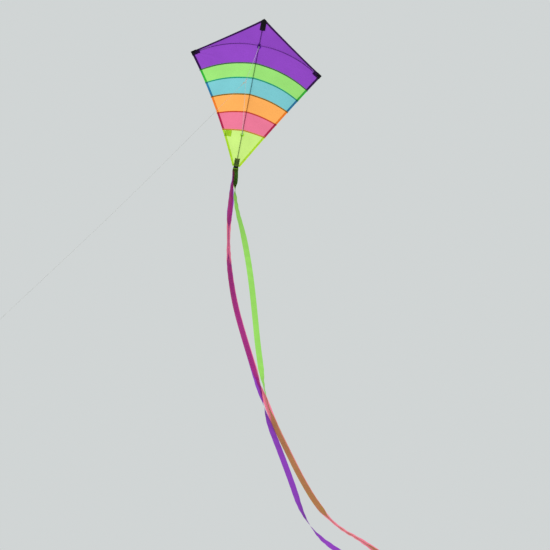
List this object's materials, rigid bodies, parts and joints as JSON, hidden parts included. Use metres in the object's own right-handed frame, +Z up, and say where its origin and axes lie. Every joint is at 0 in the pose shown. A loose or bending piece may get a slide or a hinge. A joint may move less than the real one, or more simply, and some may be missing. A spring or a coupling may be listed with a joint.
{
  "type": "diamond kite",
  "caption": "Single-line diamond kite with a bowed cross spar, sail of arched rainbow bands, black webbing corners, two-leg bridle with snap swivel and line, and ribbon tails.",
  "frame": {"origin": "where the spreader crosses the spine, on the axis of the spine rod", "axes": "+Z up the spine to the nose, -Y the side that faces the wind and the flyer, +X to the right as the flyer sees it"},
  "size_m": [1.7748, 1.418, 2.3758],
  "materials": {
    "sail_purple": "ripstop, translucent",
    "sail_green": "ripstop, translucent",
    "sail_turquoise": "ripstop, translucent",
    "sail_orange": "ripstop, translucent",
    "sail_pink": "ripstop, translucent",
    "sail_lime": "ripstop, translucent",
    "webbing_black": "woven, matt",
    "label_cloth": "woven, matt",
    "fibreglass": "pultruded rod, grey, satin",
    "vinyl": "soft vinyl, satin",
    "moulding": "clouded clear vinyl, satin",
    "bridle_cord": "braided, white",
    "flying_line": "braided, white",
    "steel_wire": "plated, bright",
    "brass_barrel": "polished",
    "ribbon_green": "ripstop tape, translucent",
    "ribbon_pink": "ripstop tape, translucent",
    "ribbon_purple": "ripstop tape, translucent"
  },
  "bodies": {
    "kite": {"panel_purple": "sail_purple", "panel_green": "sail_green", "panel_turquoise": "sail_turquoise", "panel_orange": "sail_orange", "panel_pink": "sail_pink", "panel_lime": "sail_lime", "spine_rod": "fibreglass", "spine_cap_nose": "vinyl", "spine_cap_tail": "vinyl", "spreader_rod": "fibreglass", "spreader_cap_left": "vinyl", "spreader_cap_right": "vinyl", "cross_fitting": "moulding", "nose_pocket": "webbing_black", "tail_pocket": "webbing_black", "wing_pocket_left": "webbing_black", "wing_pocket_right": "webbing_black", "label_patch": "label_cloth", "upper_eyelet_patch": "sail_purple", "lower_eyelet_patch": "sail_lime", "upper_tie": "bridle_cord", "lower_tie": "bridle_cord"},
    "bridle": {"bridle_upper_leg": "bridle_cord", "bridle_lower_leg": "bridle_cord", "tow_ring": "steel_wire"},
    "snap": {"snap_hook": "steel_wire", "swivel_barrel": "brass_barrel"},
    "line": {"swivel_eye": "steel_wire", "line_loop": "flying_line", "line_knot": "flying_line", "flying_line": "flying_line", "hand_knot": "flying_line", "hand_loop": "flying_line"},
    "header": {"ribbon_header": "ribbon_green"},
    "green_tail": {"ribbon_green": "ribbon_green"},
    "pink_tail": {"ribbon_pink": "ribbon_pink"},
    "purple_tail": {"ribbon_purple": "ribbon_purple"}
  },
  "joints": [
    {"name": "bridle_swing", "type": "hinge", "parent": "kite", "child": "bridle", "pos_m": [0, -0.007, -0.012], "axis": [0, 0, 1], "range_deg": [-55, 75]},
    {"name": "snap_swing", "type": "hinge", "parent": "bridle", "child": "snap", "pos_m": [-0.026, -0.15, -0.236], "axis": [-0.9839, 0.1789, 0], "range_deg": [-35, 40]},
    {"name": "swivel_spin", "type": "hinge", "parent": "snap", "child": "line", "pos_m": [-0.03439, -0.16489, -0.25707], "axis": [-0.3568, -0.5329, -0.7673], "continuous": true},
    {"name": "tail_flap", "type": "hinge", "parent": "kite", "child": "header", "pos_m": [0, 0, -0.588], "axis": [1, 0, 0], "range_deg": [-40, 40]},
    {"name": "green_sway", "type": "hinge", "parent": "header", "child": "green_tail", "pos_m": [0, 0, -0.602], "axis": [0, 1, 0], "range_deg": [-15, 15]},
    {"name": "pink_sway", "type": "hinge", "parent": "header", "child": "pink_tail", "pos_m": [0, 0, -0.602], "axis": [0, 1, 0], "range_deg": [-15, 15]},
    {"name": "purple_sway", "type": "hinge", "parent": "header", "child": "purple_tail", "pos_m": [0, 0, -0.602], "axis": [0, 1, 0], "range_deg": [-15, 15]}
  ]
}
